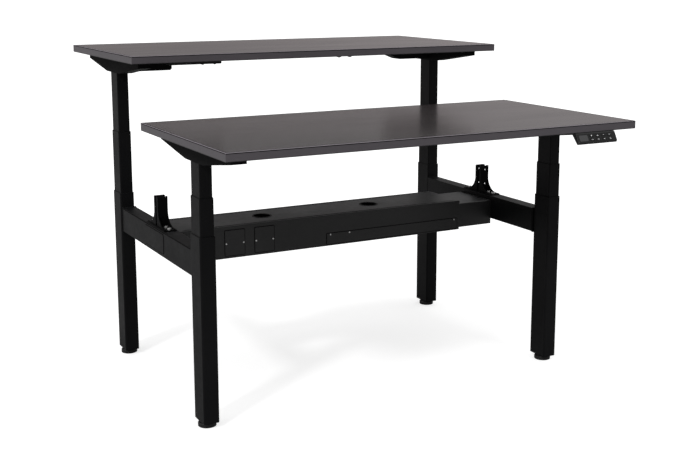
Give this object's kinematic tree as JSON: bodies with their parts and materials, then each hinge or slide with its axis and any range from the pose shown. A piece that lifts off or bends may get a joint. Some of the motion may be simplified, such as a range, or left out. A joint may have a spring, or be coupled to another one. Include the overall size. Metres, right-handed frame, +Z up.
{
  "type": "height adjustable standing desk",
  "caption": "Back-to-back sit-stand desk: work tops on telescopic electric columns, joined by side beams and a covered cable tray with screen brackets.",
  "frame": {"origin": "on the floor, midway between the columns", "axes": "+X along the work tops, +Y from the front user towards the rear user, +Z up"},
  "size_m": [1.4, 1.51, 1.088],
  "materials": {
    "frame_black": "fine-texture black powder coat, satin",
    "tray_black": "fine-texture black powder coat on thin sheet",
    "bracket_black": "black powder coat",
    "housing_black": "black powder coat",
    "zinc_screws": "zinc plated",
    "screw_steel": "rolled and greased",
    "drive_metal": "die cast, grey",
    "plug_plastic": "moulded black nylon",
    "foot_plastic": "moulded black nylon",
    "grommet_rubber": "moulded black",
    "laminate_board": "anthracite melamine-faced board, satin",
    "edge_band": "anthracite edge band, satin",
    "control_plastic": "moulded black",
    "handset_plastic": "moulded black, semi-gloss",
    "display_window": "smoked window, glossy",
    "key_plastic": null
  },
  "bodies": {
    "base_frame": {"outer_tube_front_left": "frame_black", "outer_tube_front_right": "frame_black", "outer_tube_rear_left": "frame_black", "outer_tube_rear_right": "frame_black", "base_plugs": "plug_plastic", "side_beam_left": "frame_black", "side_beam_right": "frame_black", "beam_covers": "tray_black", "fasteners": "zinc_screws", "cable_tray": "tray_black", "tray_end_slide": "tray_black", "tray_end_plates": "tray_black", "tray_covers": "tray_black", "screen_brackets": "bracket_black"},
    "lid": {"tray_lid": "tray_black", "cable_grommets": "grommet_rubber"},
    "foot_front_left": {"levelling_foot_front_left": "foot_plastic"},
    "foot_front_right": {"levelling_foot_front_right": "foot_plastic"},
    "foot_rear_left": {"levelling_foot_rear_left": "foot_plastic"},
    "foot_rear_right": {"levelling_foot_rear_right": "foot_plastic"},
    "front_middle_stage": {"front_middle_tubes": "frame_black", "front_screw_sleeves": "screw_steel"},
    "front_desk": {"front_desktop": "laminate_board", "front_edge_band": "edge_band", "front_inner_tubes": "frame_black", "front_side_brackets": "frame_black", "front_motor_housings": "housing_black", "front_drive_units": "drive_metal", "front_lead_screws": "screw_steel", "front_control_box": "control_plastic", "front_handset_housing": "handset_plastic", "front_handset_display": "display_window"},
    "front_key_body_1": {"front_key_1": "key_plastic"},
    "front_key_body_2": {"front_key_2": "key_plastic"},
    "front_key_body_3": {"front_key_3": "key_plastic"},
    "front_key_body_4": {"front_key_4": "key_plastic"},
    "front_key_body_5": {"front_key_5": "key_plastic"},
    "front_key_body_6": {"front_key_6": "key_plastic"},
    "front_key_body_7": {"front_key_7": "key_plastic"},
    "front_key_body_8": {"front_key_8": "key_plastic"},
    "rear_middle_stage": {"rear_middle_tubes": "frame_black", "rear_screw_sleeves": "screw_steel"},
    "rear_desk": {"rear_desktop": "laminate_board", "rear_edge_band": "edge_band", "rear_inner_tubes": "frame_black", "rear_side_brackets": "frame_black", "rear_motor_housings": "housing_black", "rear_drive_units": "drive_metal", "rear_lead_screws": "screw_steel", "rear_control_box": "control_plastic", "rear_handset_housing": "handset_plastic", "rear_handset_display": "display_window"},
    "rear_key_body_1": {"rear_key_1": "key_plastic"},
    "rear_key_body_2": {"rear_key_2": "key_plastic"},
    "rear_key_body_3": {"rear_key_3": "key_plastic"},
    "rear_key_body_4": {"rear_key_4": "key_plastic"},
    "rear_key_body_5": {"rear_key_5": "key_plastic"},
    "rear_key_body_6": {"rear_key_6": "key_plastic"},
    "rear_key_body_7": {"rear_key_7": "key_plastic"},
    "rear_key_body_8": {"rear_key_8": "key_plastic"}
  },
  "joints": [
    {"name": "front_lift", "type": "slide", "parent": "base_frame", "child": "front_desk", "axis": [0, 0, 1], "range_m": [-0.201, 0.399]},
    {"name": "front_middle_slide", "type": "slide", "parent": "base_frame", "child": "front_middle_stage", "axis": [0, 0, 1], "range_m": [-0.1005, 0.1995]},
    {"name": "rear_lift", "type": "slide", "parent": "base_frame", "child": "rear_desk", "axis": [0, 0, 1], "range_m": [-0.403, 0.197]},
    {"name": "rear_middle_slide", "type": "slide", "parent": "base_frame", "child": "rear_middle_stage", "axis": [0, 0, 1], "range_m": [-0.2015, 0.0985]},
    {"name": "lid_lift_off", "type": "slide", "parent": "base_frame", "child": "lid", "axis": [0, 0, 1], "range_m": [0, 0.06]},
    {"name": "foot_screw_front_left", "type": "slide", "parent": "base_frame", "child": "foot_front_left", "axis": [0, 0, -1], "range_m": [0, 0.012]},
    {"name": "foot_screw_front_right", "type": "slide", "parent": "base_frame", "child": "foot_front_right", "axis": [0, 0, -1], "range_m": [0, 0.012]},
    {"name": "foot_screw_rear_left", "type": "slide", "parent": "base_frame", "child": "foot_rear_left", "axis": [0, 0, -1], "range_m": [0, 0.012]},
    {"name": "foot_screw_rear_right", "type": "slide", "parent": "base_frame", "child": "foot_rear_right", "axis": [0, 0, -1], "range_m": [0, 0.012]},
    {"name": "front_key_1_press", "type": "slide", "parent": "front_desk", "child": "front_key_body_1", "axis": [0, 0.8725, -0.4886], "range_m": [0, 0.0005], "stiffness_N_per_m": 800},
    {"name": "front_key_2_press", "type": "slide", "parent": "front_desk", "child": "front_key_body_2", "axis": [0, 0.8725, -0.4886], "range_m": [0, 0.0005], "stiffness_N_per_m": 800},
    {"name": "front_key_3_press", "type": "slide", "parent": "front_desk", "child": "front_key_body_3", "axis": [0, 0.8725, -0.4886], "range_m": [0, 0.0005], "stiffness_N_per_m": 800},
    {"name": "front_key_4_press", "type": "slide", "parent": "front_desk", "child": "front_key_body_4", "axis": [0, 0.8725, -0.4886], "range_m": [0, 0.0005], "stiffness_N_per_m": 800},
    {"name": "front_key_5_press", "type": "slide", "parent": "front_desk", "child": "front_key_body_5", "axis": [0, 0.8725, -0.4886], "range_m": [0, 0.0005], "stiffness_N_per_m": 800},
    {"name": "front_key_6_press", "type": "slide", "parent": "front_desk", "child": "front_key_body_6", "axis": [0, 0.8725, -0.4886], "range_m": [0, 0.0005], "stiffness_N_per_m": 800},
    {"name": "front_key_7_press", "type": "slide", "parent": "front_desk", "child": "front_key_body_7", "axis": [0, 0.8725, -0.4886], "range_m": [0, 0.0005], "stiffness_N_per_m": 800},
    {"name": "front_key_8_press", "type": "slide", "parent": "front_desk", "child": "front_key_body_8", "axis": [0, 0.8725, -0.4886], "range_m": [0, 0.0005], "stiffness_N_per_m": 800},
    {"name": "rear_key_1_press", "type": "slide", "parent": "rear_desk", "child": "rear_key_body_1", "axis": [0, -0.8725, -0.4886], "range_m": [0, 0.0005], "stiffness_N_per_m": 800},
    {"name": "rear_key_2_press", "type": "slide", "parent": "rear_desk", "child": "rear_key_body_2", "axis": [0, -0.8725, -0.4886], "range_m": [0, 0.0005], "stiffness_N_per_m": 800},
    {"name": "rear_key_3_press", "type": "slide", "parent": "rear_desk", "child": "rear_key_body_3", "axis": [0, -0.8725, -0.4886], "range_m": [0, 0.0005], "stiffness_N_per_m": 800},
    {"name": "rear_key_4_press", "type": "slide", "parent": "rear_desk", "child": "rear_key_body_4", "axis": [0, -0.8725, -0.4886], "range_m": [0, 0.0005], "stiffness_N_per_m": 800},
    {"name": "rear_key_5_press", "type": "slide", "parent": "rear_desk", "child": "rear_key_body_5", "axis": [0, -0.8725, -0.4886], "range_m": [0, 0.0005], "stiffness_N_per_m": 800},
    {"name": "rear_key_6_press", "type": "slide", "parent": "rear_desk", "child": "rear_key_body_6", "axis": [0, -0.8725, -0.4886], "range_m": [0, 0.0005], "stiffness_N_per_m": 800},
    {"name": "rear_key_7_press", "type": "slide", "parent": "rear_desk", "child": "rear_key_body_7", "axis": [0, -0.8725, -0.4886], "range_m": [0, 0.0005], "stiffness_N_per_m": 800},
    {"name": "rear_key_8_press", "type": "slide", "parent": "rear_desk", "child": "rear_key_body_8", "axis": [0, -0.8725, -0.4886], "range_m": [0, 0.0005], "stiffness_N_per_m": 800}
  ],
  "couplings": [
    {"joint": "front_middle_slide", "follows": "front_lift", "ratio": 0.5},
    {"joint": "rear_middle_slide", "follows": "rear_lift", "ratio": 0.5}
  ]
}
